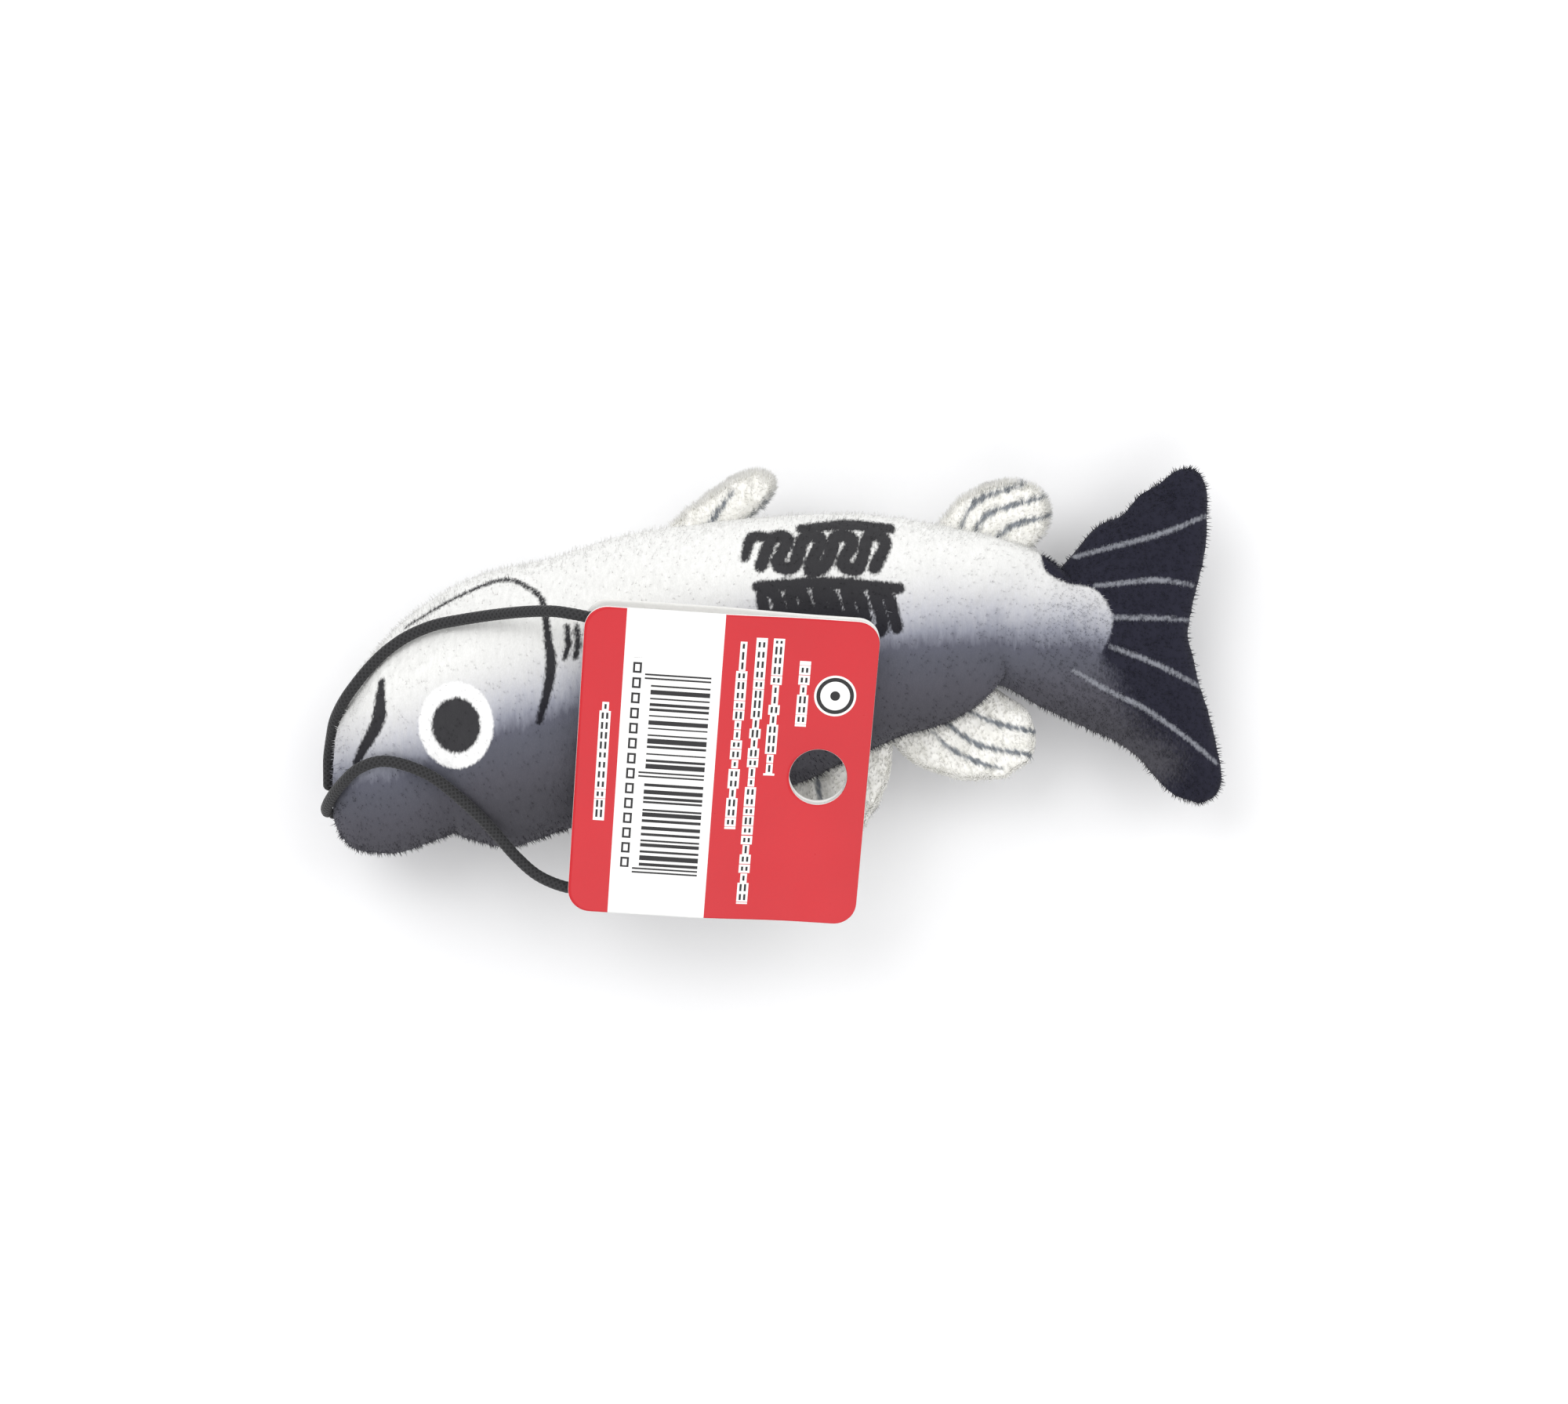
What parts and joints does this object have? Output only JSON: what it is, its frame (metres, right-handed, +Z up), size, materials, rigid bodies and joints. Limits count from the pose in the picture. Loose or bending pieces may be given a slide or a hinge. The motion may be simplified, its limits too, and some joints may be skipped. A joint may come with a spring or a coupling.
{
  "type": "stuffed plush fish charm",
  "caption": "Stuffed plush carp charm lying on its side, with a flexing tail, four sewn fins, an elastic hanging loop and a two-ply card tag with a hang hole.",
  "frame": {"origin": "middle of the bottom of the fish's own box, on the surface that its rear flank rests on", "axes": "+X from snout to tail, +Y from back to belly, +Z up through the flank that faces up"},
  "size_m": [0.141, 0.0713, 0.0369],
  "materials": {
    "flank_plush": "short-pile plush printed off-white at the belly, shading to charcoal at the back",
    "tail_plush": "short-pile plush printed near-black navy with five pale rays",
    "fin_plush": "longer-pile cream plush with blue-grey rays",
    "fibre_fill": "polyester fibre fill",
    "seam_thread": "spun polyester thread",
    "elastic_cord": "black braided round elastic",
    "tag_front": "coated card printed red with a white band",
    "tag_back": "uncoated white card",
    "tag_glue": "dried hot-melt glue"
  },
  "bodies": {
    "fish": {"body_front_panel": "flank_plush", "body_rear_panel": "flank_plush", "body_stuffing": "fibre_fill", "body_seam_thread": "seam_thread", "loop_knot": "elastic_cord"},
    "tail": {"tail_front_panel": "tail_plush", "tail_rear_panel": "tail_plush", "tail_stuffing": "fibre_fill", "tail_seam_thread": "seam_thread"},
    "pelvic_fin": {"pelvic_fin_front_cloth": "fin_plush", "pelvic_fin_rear_cloth": "fin_plush", "pelvic_fin_seam_thread": "seam_thread"},
    "anal_fin": {"anal_fin_front_cloth": "fin_plush", "anal_fin_rear_cloth": "fin_plush", "anal_fin_seam_thread": "seam_thread"},
    "dorsal_fin": {"dorsal_fin_front_cloth": "fin_plush", "dorsal_fin_rear_cloth": "fin_plush", "dorsal_fin_seam_thread": "seam_thread"},
    "adipose_fin": {"adipose_fin_front_cloth": "fin_plush", "adipose_fin_rear_cloth": "fin_plush", "adipose_fin_seam_thread": "seam_thread"},
    "loop": {"elastic_loop": "elastic_cord", "tag_front_card": "tag_front", "tag_back_card": "tag_back", "tag_glue_patch": "tag_glue"}
  },
  "joints": [
    {"name": "tail_flex", "type": "hinge", "parent": "fish", "child": "tail", "pos_m": [0.03881, 0.00507, 0.013], "axis": [-0.5577, -0.8301, 0], "range_deg": [-12, 35], "stiffness_Nm_per_rad": 0.03},
    {"name": "pelvic_fin_flex", "type": "hinge", "parent": "fish", "child": "pelvic_fin", "pos_m": [-0.01067, 0.02133, 0.013], "axis": [0.994, 0.109, 0], "range_deg": [-40, 40], "stiffness_Nm_per_rad": 0.004},
    {"name": "anal_fin_flex", "type": "hinge", "parent": "fish", "child": "anal_fin", "pos_m": [0.03239, 0.0191, 0.013], "axis": [0.9622, -0.2725, 0], "range_deg": [-40, 40], "stiffness_Nm_per_rad": 0.004},
    {"name": "dorsal_fin_flex", "type": "hinge", "parent": "fish", "child": "dorsal_fin", "pos_m": [0.00858, -0.017, 0.013], "axis": [-0.9204, -0.3909, 0], "range_deg": [-35, 20], "stiffness_Nm_per_rad": 0.004},
    {"name": "adipose_fin_flex", "type": "hinge", "parent": "fish", "child": "adipose_fin", "pos_m": [0.027, -0.00834, 0.013], "axis": [-0.8461, -0.533, 0], "range_deg": [-30, 30], "stiffness_Nm_per_rad": 0.004},
    {"name": "loop_swing", "type": "hinge", "parent": "fish", "child": "loop", "pos_m": [-0.0707, -0.022, 0.013], "axis": [0, -1, 0], "range_deg": [0, 150]}
  ]
}
